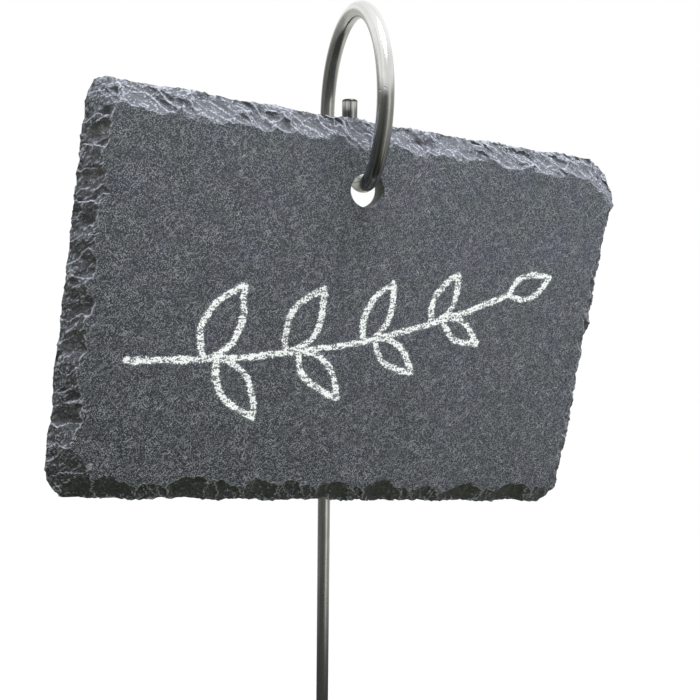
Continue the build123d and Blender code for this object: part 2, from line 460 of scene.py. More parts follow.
class Tree:
    """Adds nodes to a shader tree and joins them in one line each."""

    def __init__(self, tree):
        self.nodes, self.links = tree.nodes, tree.links
        self.nodes.clear()

    def node(self, kind, *plain, settings=None, **sockets):
        node = self.nodes.new(kind)
        for name, value in (settings or {}).items():
            setattr(node, name, value)
        for number, value in enumerate(plain):
            self.feed(node.inputs[number], value)
        for name, value in sockets.items():
            self.feed(node.inputs[name.replace("_", " ")], value)
        return node

    def put(self, kind, *plain, out=0, **sockets):
        """Adds a node and gives one of its values."""
        return Value(self, self.node(kind, *plain, **sockets).outputs[out])

    def outlets(self, kind, *plain, **sockets):
        """Adds a node and gives all its values by name."""
        node = self.node(kind, *plain, **sockets)
        return {outlet.name: Value(self, outlet) for outlet in node.outputs}

    def feed(self, socket, value):
        if isinstance(value, Value):
            self.links.new(value.socket, socket)
        elif socket.type == "RGBA" and len(value) == 3:
            socket.default_value = (*value, 1)
        else:
            socket.default_value = value

    def math(self, way, *values):
        return self.put("ShaderNodeMath", *values, settings={"operation": way})

    def vector(self, way, *values):
        return self.put("ShaderNodeVectorMath", *values, settings={"operation": way})

    def noise(self, place, scale, detail=3.0, roughness=0.55, distortion=0.0, out="Fac"):
        return self.put("ShaderNodeTexNoise", Vector=place, Scale=scale, Detail=detail,
                        Roughness=roughness, Distortion=distortion, out=out)

    def mix(self, share, first, second, way="MIX"):
        kind = {"data_type": "RGBA", "blend_type": way, "clamp_factor": True}
        node = self.node("ShaderNodeMix", settings=kind)
        for socket, value in (("Factor", share), (6, first), (7, second)):
            self.feed(node.inputs[socket], value)
        return Value(self, node.outputs[2])

    def toned(self, colour, tone):
        """The colour, lighter or darker by a tone."""
        grey = self.put("ShaderNodeCombineColor", tone, tone, tone)
        return self.mix(1.0, colour, grey, way="MULTIPLY")

    def attribute(self, name, out="Fac"):
        return self.put("ShaderNodeAttribute", settings={"attribute_name": name}, out=out)

    def place(self):
        return self.put("ShaderNodeTexCoord", out="Object")

    def parts(self, vector):
        return list(self.outlets("ShaderNodeSeparateXYZ", vector).values())

    def turn(self, place, degrees=(0, 0, 0), scale=(1, 1, 1)):
        turns = [math.radians(a) for a in degrees]
        return self.put("ShaderNodeMapping", Vector=place, Rotation=turns, Scale=scale)

    def group(self, name, **sockets):
        kind = {"node_tree": bpy.data.node_groups[name]}
        return self.put("ShaderNodeGroup", settings=kind, **sockets)

    def crossed(self, place, angles, shift, length, draw):
        """Draws strokes in several directions and keeps the brightest at each point."""
        strokes = None
        for number, degrees in enumerate(angles):
            moved = self.vector("ADD", place, [step * number for step in shift])
            turned = self.put("ShaderNodeVectorRotate", Vector=moved, Angle=math.radians(degrees),
                              settings={"rotation_type": "Y_AXIS"})
            x, y, z = self.parts(turned)
            shown = draw(self.put("ShaderNodeCombineXYZ", x / length, y, z))
            strokes = shown if strokes is None else strokes.most(shown)
        return strokes

    def coat(self, surface, shade, rough, height, bump, depth, **more):
        """Gives the surface its colour and shine, and a relief too fine for the mesh."""
        bumps = self.put("ShaderNodeBump", Strength=bump, Distance=depth, Height=height)
        self.feed(surface, self.put("ShaderNodeBsdfPrincipled", Base_Color=shade, Roughness=rough,
                                    Normal=bumps, **more))


def new_group(name, result, **inputs):
    """A node group that takes a place and some numbers and gives one number."""
    group = bpy.data.node_groups.new(name, "ShaderNodeTree")
    tree = Tree(group)
    new_socket = group.interface.new_socket
    new_socket(name="Place", in_out="INPUT", socket_type="NodeSocketVector")
    for label, value in inputs.items():
        socket = new_socket(name=label, in_out="INPUT", socket_type="NodeSocketFloat")
        socket.default_value = value
    new_socket(name=result, in_out="OUTPUT", socket_type="NodeSocketFloat")
    given = tree.outlets("NodeGroupInput")
    return tree, given, tree.nodes.new("NodeGroupOutput").inputs[0]


def hairline_group():
    """Short fine strokes that lie in all directions, as scratches on steel."""
    tree, given, result = new_group("Hairlines", "Lines", Fineness=900.0, Length=9.0, Rarity=0.66)
    bend = tree.noise(given["Place"], 260.0, 1.0, 0.5, out="Color")
    bend = tree.vector("MULTIPLY", bend, [HAIRLINE_BEND] * 3)
    bent = tree.vector("ADD", given["Place"], bend)

    def draw(place):
        rarity = given["Rarity"]
        return tree.noise(place, given["Fineness"], 1.0, 0.4).span(rarity, rarity + 0.07)

    strokes = tree.crossed(bent, (12, 57, 98, 141), (0.11, 0.07, 0.05), given["Length"], draw)
    tree.feed(result, strokes)


def sliver_group():
    """Sparse bright slivers a few widths long in several directions, as mica in split slate."""
    tree, given, result = new_group("Slivers", "Slivers", Fineness=2600.0, Length=3.0, Rarity=0.6)

    def draw(place):
        cells = tree.outlets("ShaderNodeTexVoronoi", Vector=place, Scale=given["Fineness"])
        chance = tree.outlets("ShaderNodeSeparateColor", cells["Color"])
        shown = tree.math("GREATER_THAN", chance["Red"], given["Rarity"])
        shown = cells["Distance"].span(0.40, 0.22) * shown
        return shown * tree.math("POWER", chance["Green"], 0.5)

    strokes = tree.crossed(given["Place"], (38, 55, 8, 128), (0.13, 0.05, 0.09), given["Length"],
                           draw)
    tree.feed(result, strokes)


def cloud_group():
    """Slow patches that drift a colour or a polish from place to place."""
    tree, given, result = new_group("Clouds", "Patches", Size=90.0, Softness=0.2)
    cloud = tree.noise(given["Place"], given["Size"], 5.0, 0.62, 0.4)
    tree.feed(result, cloud.span(0.5 - given["Softness"], given["Softness"] + 0.5))


def new_material(name):
    material = bpy.data.materials.new(name)
    material.use_nodes = True
    tree = Tree(material.node_tree)
    output = tree.nodes.new("ShaderNodeOutputMaterial")
    return material, tree, output.inputs["Surface"]


# the bent wire


def bend_middles(wire):
    """How far back the ring's middle lies, and how far back and how high the hook's."""
    reach = wire.ring_radius - wire.hook_radius
    ring_y = -wire.ring_radius
    hook_y = ring_y + reach * math.cos(wire.ring_turn)
    hook_z = wire.ring_height + reach * math.sin(wire.ring_turn)
    return ring_y, hook_y, hook_z


def bend_lengths(wire):
    """How much wire has run by at the start and the end of the ring, and at the end of the hook."""
    straight = wire.ring_height - wire_box[0][2]
    after_ring = straight + wire.ring_turn * wire.ring_radius
    return straight, after_ring, after_ring + (FULL_TURN - wire.ring_turn) * wire.hook_radius


def wire_grain(places, wire):
    """For each point of the wire: where it lies round the wire, and how far along it."""
    ring_y, hook_y, hook_z = bend_middles(wire)
    straight, after_ring, after_hook = bend_lengths(wire)
    x, y, z = places.T
    from_ring, from_hook = (y - ring_y, z - wire.ring_height), (y - hook_y, z - hook_z)
    around_ring = np.mod(np.arctan2(from_ring[1], from_ring[0]), FULL_TURN)
    around_hook = np.mod(np.arctan2(from_hook[1], from_hook[0]), FULL_TURN)
    near = wire.radius * 1.2
    off_hook = np.hypot(*from_hook) - wire.hook_radius
    on_stake = (z < wire.ring_height) & (y > -2 * wire.radius)
    on_hook = ~on_stake & (np.abs(off_hook) < near) & (z <= hook_z)
    on_hook = on_hook & (around_hook >= wire.ring_turn - 0.02)
    on_stub = ~on_stake & (z > hook_z) & (z < hook_z + wire.stub_length + wire.radius)
    on_stub = on_stub & (np.abs(from_hook[0] - wire.hook_radius) < near)
    out = np.hypot(*from_ring) - wire.ring_radius
    along = straight + around_ring * wire.ring_radius
    for here, out_here, along_here in (
        (on_stake, y, z - wire_box[0][2]),
        (on_hook, off_hook, after_ring + (around_hook - wire.ring_turn) * wire.hook_radius),
        (on_stub, from_hook[0] - wire.hook_radius, after_hook + from_hook[1]),
    ):
        out, along = np.where(here, out_here, out), np.where(here, along_here, along)
    turn = np.arctan2(x, out)
    return np.stack([np.cos(turn) * wire.radius, np.sin(turn) * wire.radius, along], axis=1)


def steel_material(wire):
    material, tree, surface = new_material("Drawn steel wire")
    grain, place = tree.attribute("wire_grain", "Vector"), tree.place()
    drawn = tree.noise(tree.turn(grain, scale=(1, 1, 0.02)), DRAWN_LINES, 4.0, 0.6)
    coarse = tree.noise(tree.turn(grain, scale=(1, 1, 0.05)), COARSE_LINES, 2.0)
    stripes = tree.noise(tree.turn(grain, scale=(1, 1, 0.01)), BLACK_LINES, 3.0, 0.7)
    rings = tree.noise(tree.turn(grain, scale=(0.25, 0.25, 1)), WIRE_RINGS, 3.0)
    tarnish = tree.group("Clouds", Place=place, Size=150.0, Softness=0.2)
    scratches = tree.group("Hairlines", Place=place, Fineness=1500.0, Length=10.0, Rarity=0.68)
    dull = tarnish * 0.38 + coarse.span(0.42, 0.66) * 0.42
    shade = tree.mix(dull, wire.steel, wire.steel_dull)
    shade = tree.mix(drawn.span(0.56, 0.70) * 0.75, shade, wire.steel_dull)
    # the hook, in the tag's shade, is painted dark as shade in stripes along the wire, and the cut
    # end is black
    along = tree.parts(grain)[2]
    after_ring, after_hook = bend_lengths(wire)[1:]
    end = after_hook + wire.stub_length
    hook_shade = along.span(after_ring - SHADE_FROM, after_ring - SHADE_BY)
    shade = tree.mix(hook_shade * stripes.span(0.36, 0.62, 0.35, 0.95), shade, wire.steel_shaded)
    shade = tree.mix(along.span(end - BURR_FROM, end - BURR_BY), shade, wire.steel_cut)
    rough = drawn.span(0.40, 0.62).between(0.08, 0.15) + tarnish * 0.08
    height = drawn * 0.7 + rings * 0.22 - scratches * 0.35
    tree.coat(surface, shade, rough, height, *STEEL_BUMPS, Metallic=1.0, IOR=2.2)
    return material


class LABELSTAKE_OT_wire(bpy.types.Operator):
    """Bends the wire: stake, ring, hook and cut end, all one length of steel"""

    bl_idname = "label_stake.bend_wire"
    bl_label = "Bend the wire"

    def execute(self, context):
        wire = settings(context)[0]
        straight_from = wire_box[0][2] + wire.point_length
        ring_y, hook_y, hook_z = bend_middles(wire)
        piece = primitive(bpy.ops.mesh.primitive_circle_add, "Bent_wire", vertices=wire.facets,
                          radius=wire.radius, location=(0, 0, straight_from))
        settle(piece)
        start_edit("SELECT")
        for _ in range(STRAIGHT_RUNS):
            extrude((0, 0, (wire.ring_height - straight_from) / STRAIGHT_RUNS))
        for steps, turn, middle in ((RING_STEPS, wire.ring_turn, (0, ring_y, wire.ring_height)),
                                    (HOOK_STEPS, FULL_TURN - wire.ring_turn, (0, hook_y, hook_z))):
            bpy.ops.mesh.spin(steps=steps, angle=turn, center=middle, axis=(-1, 0, 0))
        for _ in range(STUB_RUNS):
            extrude((0, 0, (wire.stub_length - wire.cut_bevel) / STUB_RUNS))
        for rise, size in BEVEL_STEPS:
            extrude((0, 0, wire.cut_bevel * rise), size)
        for size in CUT_FACE_RINGS:
            extrude(size=size)
        bpy.ops.mesh.edge_face_add()
        end_edit()
        mesh = piece.data
        select_vertices(mesh, np.abs(vertex_places(mesh)[:, 2] - straight_from) < 1e-6)
        edit_chosen()
        taper, before = 1 - wire.point_flat / wire.radius, 1.0
        for run in range(1, POINT_RUNS + 1):
            after = 1 - taper * (run / POINT_RUNS) ** POINT_CURVE
            extrude((0, 0, -wire.point_length / POINT_RUNS), after / before)
            before = after
        bpy.ops.mesh.edge_face_add()
        bpy.ops.mesh.select_all(action="SELECT")
        bpy.ops.mesh.remove_doubles(threshold=1e-7)
        bpy.ops.mesh.normals_make_consistent(inside=False)
        end_edit()
        bpy.ops.object.shade_smooth_by_angle(angle=math.radians(SMOOTH_WIRE))
        store_vector(mesh, "wire_grain", wire_grain(vertex_places(mesh), wire))
        mesh.materials.append(steel_material(wire))
        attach(piece, "stake")
        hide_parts("wire_stake")
        return {"FINISHED"}


# the outline of the split slate


def outward(start, end):
    reach = math.hypot(end[0] - start[0], end[1] - start[1])
    return (end[1] - start[1]) / reach, (start[0] - end[0]) / reach


def on_line(start, end, share, lift):
    """A point part of the way from start to end, lifted a little out of the line."""
    out = outward(start, end)
    return (start[0] + (end[0] - start[0]) * share + out[0] * lift,
            start[1] + (end[1] - start[1]) * share + out[1] * lift)


def side_points(start, end, run_start, run_end, wavers):
    reach = math.hypot(end[0] - start[0], end[1] - start[1])
    shares = np.linspace(run_start / reach, 1 - run_end / reach, len(wavers))
    return [on_line(start, end, share, waver * EDGE_WAVER)
            for share, waver in zip(shares, wavers)]


def rounded(start, end):
    """Points over a clipped corner, bulging a little out of the straight cut."""
    bulge = CORNER_BULGE * math.hypot(end[0] - start[0], end[1] - start[1])
    shares = np.linspace(0, 1, CORNER_POINTS)
    return [on_line(start, end, s, bulge * 4 * s * (1 - s)) for s in shares]


def outline_sides():
    """The sides from the middle of one clipped corner to the next, and their plain parts."""
    lines = [side_points(TAG_CORNERS[first], TAG_CORNERS[last],
                         CORNER_RUNS[first][1], CORNER_RUNS[last][0], wavers)
             for first, last, _, wavers, _ in SIDES]
    sides, half = [], CORNER_POINTS // 2
    for number, points in enumerate(lines):
        before, after = lines[number - 1][-1], lines[(number + 1) % len(lines)][0]
        head, tail = rounded(before, points[0]), rounded(points[-1], after)
        sides.append(np.array([*head[half:], *points, *tail[:half + 1]]))
    return sides, lines


def along_line(points, share):
    run = np.concatenate([[0], np.cumsum(np.hypot(*np.diff(points, axis=0).T))])
    return [np.interp(share * run[-1], run, points[:, axis]) for axis in range(2)]


def fill_outline(across, up):
    """Spreads a square grid over the outline, so that the grid's rim is the outline itself."""
    left, bottom, right, top = outline_sides()[0]
    at_bottom, at_top = along_line(bottom, across), along_line(top, 1 - across)
    at_left, at_right = along_line(left, 1 - up), along_line(right, up)
    place = []
    for axis in range(2):
        between = ((1 - up) * at_bottom[axis] + up * at_top[axis]
                   + (1 - across) * at_left[axis] + across * at_right[axis])
        corners = ((1 - across) * (1 - up) * bottom[0][axis] + across * (1 - up) * right[0][axis]
                   + across * up * top[0][axis] + (1 - across) * up * left[0][axis])
        place.append(between - corners)
    return place


# the chips along the edge


class Scar:
    """A shell-shaped scar: an egg pressed into the slope, dipping a little way into the stone."""

    def __init__(self, middle, height, directions, sizes, dip, clean):
        self.middle, self.height, self.directions, self.sizes = middle, height, directions, sizes
        self.dip, self.clean = dip, clean

    def floor(self, x, z):
        """Height of the scar's floor over the tag's back, where the scar reaches."""
        square, slant, rest = 0, 0, -1
        for number, (direction, size) in enumerate(zip(self.directions, self.sizes)):
            flat = (x - self.middle[0]) * direction[0] + (z - self.middle[1]) * direction[2]
            if number == 2:
                flat = flat - (size - self.dip)
            square = square + direction[1] ** 2 / size**2
            slant = slant + 2 * flat * direction[1] / size**2
            rest = rest + flat**2 / size**2
        inside = slant**2 - 4 * square * rest
        depth = (-slant - np.sqrt(np.maximum(inside, 0))) / (2 * square)
        return np.where(inside > 0, self.height + depth, NO_SCAR)

    def below(self, z):
        """How far down from the scar's middle each point lies, as a share of the scar's reach."""
        return (self.middle[1] - z) / math.sqrt(2 * self.sizes[0] * self.dip)


def knocked_scars():
    """Every scar that the trimming knocked out of the edge, on each side the large ones first."""
    rng = np.random.RandomState(SCAR_SEED)
    scars = []
    for side, lean, clean, shallow in zip(SIDES, SIDE_LEANS, SIDE_CLEAN, SIDE_DIPS):
        first, last, slope, _, chips = side
        start, end = np.array(TAG_CORNERS[first]), np.array(TAG_CORNERS[last])
        side_length = np.hypot(*(end - start))
        out, run = np.array(outward(start, end)), (end - start) / side_length
        steep = math.atan(SLOPE_DROP / slope)

        def knock(place, deep, sizes, dip, fall, turn, clean):
            middle = start + run * place - out * slope * deep
            height = min(BACK_LAND + SLOPE_DROP * deep, FACE_HEIGHT)
            down = np.array((out[0] * math.cos(fall), -math.sin(fall), out[1] * math.cos(fall)))
            across = np.array((run[0], 0, run[1]))
            facing = np.array((out[0] * math.sin(fall), math.cos(fall), out[1] * math.sin(fall)))
            turned = (across * math.cos(turn) - down * math.sin(turn),
                      down * math.cos(turn) + across * math.sin(turn), facing)
            scars.append(Scar(middle, height, turned, sizes, dip, clean))

        deep = 0.5 + CHIP_RISE / math.hypot(slope, SLOPE_DROP)
        for share, size, depth in chips:
            ball = CHIP_BALL * size
            sizes = (ball * 0.85, ball * 1.15, ball)
            knock(side_length * share, deep, sizes, depth * shallow, steep,
                  math.radians(lean * 0.7), clean * min(1, size) ** 8)
        for spacing, deep, across, down, thick, dip, fall, wander in SCAR_SORTS:
            place = rng.uniform(0, spacing[0])
            while place < side_length:
                sizes = (rng.uniform(*across), rng.uniform(*down), rng.uniform(*thick))
                turn = math.radians(lean + rng.uniform(-wander, wander))
                knock(place, rng.uniform(*deep), sizes, rng.uniform(*dip) * shallow,
                      steep * rng.uniform(*fall), turn, 0.0)
                place += rng.uniform(*spacing)
    return scars


def shifted_mean(field, steps):
    """Mean of the field a few cells away in eight directions."""
    total = np.zeros_like(field)
    near = max(1, round(steps * 0.7))
    for over, up in ((steps, 0), (-steps, 0), (0, steps), (0, -steps),
                     (near, near), (-near, near), (near, -near), (-near, -near)):
        total += np.roll(field, (up, over), axis=(0, 1))
    return total / 8


def flow_along(x, z):
    """How far along and across its nearest side's flakes each point lies, and that side's number."""
    nearest, side = np.full_like(x, FAR), np.zeros(x.shape, dtype=int)
    u, v = np.zeros_like(x), np.zeros_like(x)
    for number, (first, last, _, _, _) in enumerate(SIDES):
        start, out = TAG_CORNERS[first], outward(TAG_CORNERS[first], TAG_CORNERS[last])
        away = -((x - start[0]) * out[0] + (z - start[1]) * out[1])
        lean = math.radians(SIDE_LEANS[number])
        along = (-(out[0] * math.cos(lean) - out[1] * math.sin(lean)),
                 -(out[0] * math.sin(lean) + out[1] * math.cos(lean)))
        here = away < nearest
        side = np.where(here, number, side)
        u = np.where(here, x * along[0] + z * along[1], u)
        v = np.where(here, -x * along[1] + z * along[0], v)
        nearest = np.minimum(nearest, away)
    return u, v, side


def lapped_flakes(u, v, seed):
    """Shallow flakes that lap over each other like shingles, with a step wherever one ends."""
    column, row = np.floor(u), np.floor(v)
    nearest, lifted = np.full_like(u, FAR), np.zeros_like(u)
    by_chance, curl, down, across = FLAKE_SHAPE
    for i in (-1, 0, 1):
        for j in (-1, 0, 1):
            over, up, lift = (lattice_value(column + i, row + j, seed + turn) for turn in range(3))
            du = u - column - i - 0.5 - FLAKE_WANDER * over
            dv = v - row - j - 0.5 - FLAKE_WANDER * up
            apart = du * du + dv * dv
            closer = apart < nearest
            nearest = np.where(closer, apart, nearest)
            height = by_chance * lift + curl * apart + down * dv + across * du
            lifted = np.where(closer, height, lifted)
    return lifted


class ChippedFront:
    """The tag's chipped front as maps on a fine square raster in the tag's own millimetres."""

    low, high, cell = (-56.0, -68.0), (62.0, 20.0), 0.1

    def __init__(self):
        self.across = np.arange(self.low[0], self.high[0], self.cell)
        self.up = np.arange(self.low[1], self.high[1], self.cell)
        x, z = self.x, self.z = np.meshgrid(self.across, self.up)
        self.warped = [line + waves(x, z, *warp) for line, warp in zip((x, z), WARPS)]
        u, v, side = flow_along(*self.warped)
        slopes = self.cut_slopes()
        slopes, clean = self.knock_chips(slopes)
        slopes = self.tear_flakes(slopes, clean, u, v, side)
        grit = GRIT_HEIGHT + RIM_GRIT_HEIGHT * np.exp(-np.maximum(self.inside, 0) / GRIT_REACH)
        slopes = slopes + waves(x, z, GRIT) * grit * (1 - 0.7 * clean)
        face = FACE_HEIGHT - FACE_SUNK + waves(x, z, *FACE_WAVES)
        self.height = np.clip(np.minimum(face, slopes), LOWEST, FACE_HEIGHT)
        self.broken = smooth_step(0.0, 0.10, face - slopes)
        near, wide = (self.height - shifted_mean(self.height, steps) for steps in (2, 9))
        bruise_and_highlight_levels = np.array(SIDE_BRUISE_AND_HIGHLIGHT)[side]
        crumbled = smooth_step(-0.1, 0.5, waves(x, z, CRUMBLE))
        crumbled = smooth_step(1.4, 0.2, self.inside) * crumbled
        # convex rims and crumbled edges are drawn lighter: bruised stone, and a painted highlight
        sharp = smooth_step(0.02, 0.08, near / np.array(SIDE_DIPS)[side])
        self.bruise_and_highlight = np.maximum(sharp, crumbled * 0.6) * bruise_and_highlight_levels
        # painted shade: the stone is darkened in the hollows between chips, near and wide
        self.hollow_shade = np.maximum(smooth_step(0.03, 0.12, -near),
                                 smooth_step(0.10, 0.40, -wide) * 0.7)
        # painted shade: the olive tint in clean shells, weighted by side, most on the bottom and
        # none on the top
        self.clean = clean * self.broken * np.array(OLIVE_SHADE_SHOWN)[side]
        self.streaked = (1 - clean) * self.broken * bruise_and_highlight_levels
        self.chalk = self.draw_chalk()

    def window(self, left, right, foot, head):
        """The part of the raster between these edges in millimetres."""
        return (slice(*np.searchsorted(self.up, (foot, head))),
                slice(*np.searchsorted(self.across, (left, right))))

    def cut_slopes(self):
        """The plain sloping cuts along the sides and over the corners."""
        lines = outline_sides()[1]
        edges = [(TAG_CORNERS[first], TAG_CORNERS[last], slope, room)
                 for (first, last, slope, _, _), room in zip(SIDES, SIDE_ROOMS)]
        edges += [(lines[number][-1], lines[(number + 1) % len(lines)][0], slope, CORNER_ROOM)
                  for number, slope in enumerate(CORNER_SLOPES)]
        self.inside, slopes = np.full_like(self.x, FAR), np.full_like(self.x, FAR)
        for start, end, slope, room in edges:
            out = outward(start, end)
            depth, plain_depth = (-((across - start[0]) * out[0] + (up - start[1]) * out[1])
                                  for across, up in (self.warped, (self.x, self.z)))
            self.inside = np.minimum(self.inside, plain_depth)
            slopes = np.minimum(slopes, BACK_LAND + (depth + room) * SLOPE_DROP / slope)
        return slopes

    def knock_chips(self, slopes):
        """Knocks every scar out of the slopes, and says where a clean shell is left."""
        clean = np.zeros_like(self.x)
        for scar in knocked_scars():
            reach = max(scar.sizes) + 1.2
            here = self.window(scar.middle[0] - reach, scar.middle[0] + reach,
                               scar.middle[1] - reach, scar.middle[1] + reach)
            # inside a clean shell the later, smaller blows mostly glanced off
            glanced = clean[here] * 0.5 * (scar.clean == 0)
            floor = scar.floor(*(line[here] for line in self.warped)) + glanced
            # the layers tear along the lower rim of a shell
            left_clean = scar.clean * smooth_step(0.75, 0.35, scar.below(self.z[here]))
            clean[here] = np.where(floor < slopes[here], left_clean, clean[here])
            slopes[here] = np.minimum(slopes[here], floor)
        for _ in range(3):
            clean = shifted_mean(clean, 3)
        return slopes, clean

    def tear_flakes(self, slopes, clean, u, v, side):
        """Laps long flakes over the slopes and tears the thin layers into steps."""
        flakes, streaks = np.zeros_like(self.x), np.zeros_like(self.x)
        for number, ((long, wide), lap) in enumerate(zip(SIDE_FLAKES, SIDE_LAPS)):
            here = (side == number) & (self.inside < 9) & (self.inside > -1)
            large = lapped_flakes(u[here] / long, v[here] / wide, 31 + number)
            small = lapped_flakes(u[here] / SMALL_FLAKE[0], v[here] / SMALL_FLAKE[1], 41 + number)
            flakes[here] = large * lap + small * SMALL_LAP
            streaks[here] = layered_noise(u[here] * 0.30, v[here], 1.1, 35 + number, 3)
        slopes = slopes + (flakes + streaks * STREAK_RELIEF) * (1 - clean)
        rng = np.random.RandomState(SCAR_SEED + 1)
        thick = np.cumsum(rng.uniform(*LAYER_THICK, LAYERS))
        layers = np.concatenate([[FIRST_LAYER], FIRST_LAYER + thick])
        knots = np.stack([layers[:-1], layers[:-1] + np.diff(layers) * LAYER_FLAT], axis=1).ravel()
        torn = slopes + streaks * STREAK_TEAR
        stepped = np.interp(torn, knots, np.repeat(layers[:-1], 2)) + LAYER_LIFT
        strength = np.clip(0.45 + waves(self.x, self.z, TEARING), 0.1, 0.9) * (1 - clean)
        return slopes + (stepped - torn) * strength * np.array(SIDE_STEPS)[side]

    def draw_chalk(self):
        """How near each point is to a chalk stroke: 1 on its middle line, 0 out of its reach."""
        wander = [line + waves(self.x, self.z, noise)
                  for line, noise in zip((self.x, self.z), CHALK_WANDER)]
        closest = np.full_like(self.x, FAR)
        for stroke in sprig_strokes():
            for start, end in zip(stroke[:-1], stroke[1:]):
                low = np.minimum(start, end) - CHALK_WINDOW
                high = np.maximum(start, end) + CHALK_WINDOW
                here = self.window(low[0], high[0], low[1], high[1])
                dx, dz = end - start
                px, pz = wander[0][here] - start[0], wander[1][here] - start[1]
                share = np.clip((px * dx + pz * dz) / (dx * dx + dz * dz), 0, 1)
                away = np.hypot(px - dx * share, pz - dz * share)
                closest[here] = np.minimum(closest[here], away)
        return np.clip(1 - closest / CHALK_REACH, 0, 1)

    def read(self, name, x, z):
        """Values of one map at loose points, blended between its cells."""
        field = getattr(self, name)
        across, up = (x - self.low[0]) / self.cell, (z - self.low[1]) / self.cell
        column = np.clip(across.astype(int), 0, field.shape[1] - 2)
        row = np.clip(up.astype(int), 0, field.shape[0] - 2)
        u, v = np.clip(across - column, 0, 1), np.clip(up - row, 0, 1)
        near = field[row, column] * (1 - u) + field[row, column + 1] * u
        far = field[row + 1, column] * (1 - u) + field[row + 1, column + 1] * u
        return near * (1 - v) + far * v


def sprig_strokes():
    """A chalk sprig: a bent stem with pairs of leaves, as lines in millimetres from the hole."""
    start, bend, end = (np.array(place) for place in STEM)

    def stem(share):
        return (1 - share) ** 2 * start + 2 * share * (1 - share) * bend + share**2 * end

    def leaf(foot, direction, reach, width):
        aside = np.array((-direction[1], direction[0]))
        shares = [(s, math.sin(math.pi * s**LEAF_ROUNDNESS))
                  for s in np.linspace(0, 1, LEAF_POINTS)]
        return [np.array([foot + direction * reach * s + aside * width * way * bulge
                          for s, bulge in shares]) for way in (1, -1)]

    strokes = [np.array([stem(s) for s in np.linspace(0, 1, STEM_POINTS)])]
    for number, share in enumerate(LEAF_PLACES):
        foot = stem(share)
        ahead = stem(share + 0.02) - foot
        heading = math.atan2(ahead[1], ahead[0])
        for side in (1, -1):
            lean = heading + side * math.radians(LEAF_LEAN - LEAF_LEAN_LOST * number)
            reach = (LEAF_REACH - LEAF_REACH_LOST * number) * (1.0 if side > 0 else LOWER_LEAF)
            way = np.array((math.cos(lean), math.sin(lean)))
            start_at = foot + ahead * LOWER_LEAF_AHEAD * (side < 0)
            strokes += leaf(start_at, way, reach, reach * LEAF_WIDTH)
    ahead = end - stem(0.97)
    strokes += leaf(end, ahead / np.linalg.norm(ahead), *TIP_LEAF)
    return strokes


# the slate tag


def tag_to_world(x, y, z, tilt):
    """From the tag's own millimetres to the world."""
    x, y, z = x * MM, y * MM, z * MM
    return np.stack([x * math.cos(tilt) + z * math.sin(tilt) + hole_place.x, y + hole_place.y,
                     -x * math.sin(tilt) + z * math.cos(tilt) + hole_place.z], axis=1)


def world_to_tag(places, tilt):
    x, y, z = ((places[:, axis] - hole_place[axis]) / MM for axis in range(3))
    return x * math.cos(tilt) - z * math.sin(tilt), y, x * math.sin(tilt) + z * math.cos(tilt)


def stone_colour(tree, slate, place, pale, broken):
    """Blue-grey stone with clouds, greyer where it is broken, with an olive tint of painted shade in
    clean shells.
    """
    dark = tree.group("Clouds", Place=place, Size=75.0, Softness=0.22)
    # the dark clouds fade where the painted light gradient is brighter
    shade = tree.mix(dark * pale.between(1.0, 0.7), slate.stone, slate.stone_dark)
    for turn, size, tint in (((20, 40, 70), 170.0, slate.stone_violet),
                             ((70, 10, 30), 140.0, slate.stone_green)):
        cloud = tree.group("Clouds", Place=tree.turn(place, turn), Size=size, Softness=0.16)
        shade = tree.mix(cloud * 0.85, shade, tint)
    shade = tree.mix(broken * 0.75, shade, slate.stone_broken)
    # painted shade: olive tint in clean shells, strongest on the bottom side
    return tree.mix(tree.attribute("clean") * 0.6, shade, slate.olive_shell_shade)


def stone_tone(pale, broken, hollow_shade, grain, fine, torn):
    """How much lighter or darker each point is than its colour: random grain and marks, painted
    shade in the hollows, and a painted light gradient.
    """
    speckled = grain.span(0.34, 0.66, 0.58, 1.44, smooth=False)
    speckled = speckled * fine.span(0.3, 0.7, 0.85, 1.15, smooth=False)
    tone = (speckled - 1.0) * broken.between(1.0, 0.65) + 1.0
    # painted shade in the hollows, and random darker marks where the stone is torn
    tone = tone * hollow_shade.between(1.0, 0.82) * torn.span(0.34, 0.50, 0.72, 1.02)
    # painted light: darker towards the lower left and lighter towards the top right
    return tone * pale.between(0.35, 1.00, smooth=False)


def mica_glints(tree, place, broken, grain):
    """Slivers of mica and thin torn fibres, thinned out in patches and in the chips."""
    turned = tree.turn(place, (0, 25, 0))
    glints = tree.group("Slivers", Place=place, Fineness=3000.0, Length=6.0, Rarity=0.83)
    specks = tree.group("Slivers", Place=turned, Fineness=4600.0, Length=1.7, Rarity=0.62)
    fibres = tree.noise(tree.turn(place, (0, 20, 0), (0.8, 1, 1.2)), FIBRE_GRAIN, 2.0, 0.6, 0.8)
    fibres = tree.math("ABSOLUTE", fibres - 0.5).span(0.055, 0.010) * grain.span(0.47, 0.58)
    glints = glints.most(specks * 0.95).most(fibres * 0.38)
    glints = glints * tree.noise(place, PATCHES, 4.0, 0.7).span(0.36, 0.62, 0.55, 1.0)
    return glints * broken.between(0.9, 0.3)


def chalk_strokes(tree, place, fine):
    """Where the chalk caught on the stone: broken slanting strokes with a thin dust between."""
    chalk = tree.attribute("chalk")
    ropes = tree.noise(tree.turn(place, (0, 42, 0), (0.45, 1, 1)), CHALK_ROPES, 3.0, 0.65)
    crumbs = tree.noise(place, CHALK_CRUMBS, 2.0, 0.6)
    stroke = chalk.span(0.42, 0.78)
    cover = (stroke * 0.66 + ((ropes - 0.5) * 2.2 + (crumbs - 0.5) * 2.0)).span(0.53, 0.60)
    cover = cover * chalk.span(0.40, 0.48)
    return cover.most(stroke * fine.span(0.3, 0.7, 0.02, 0.20))


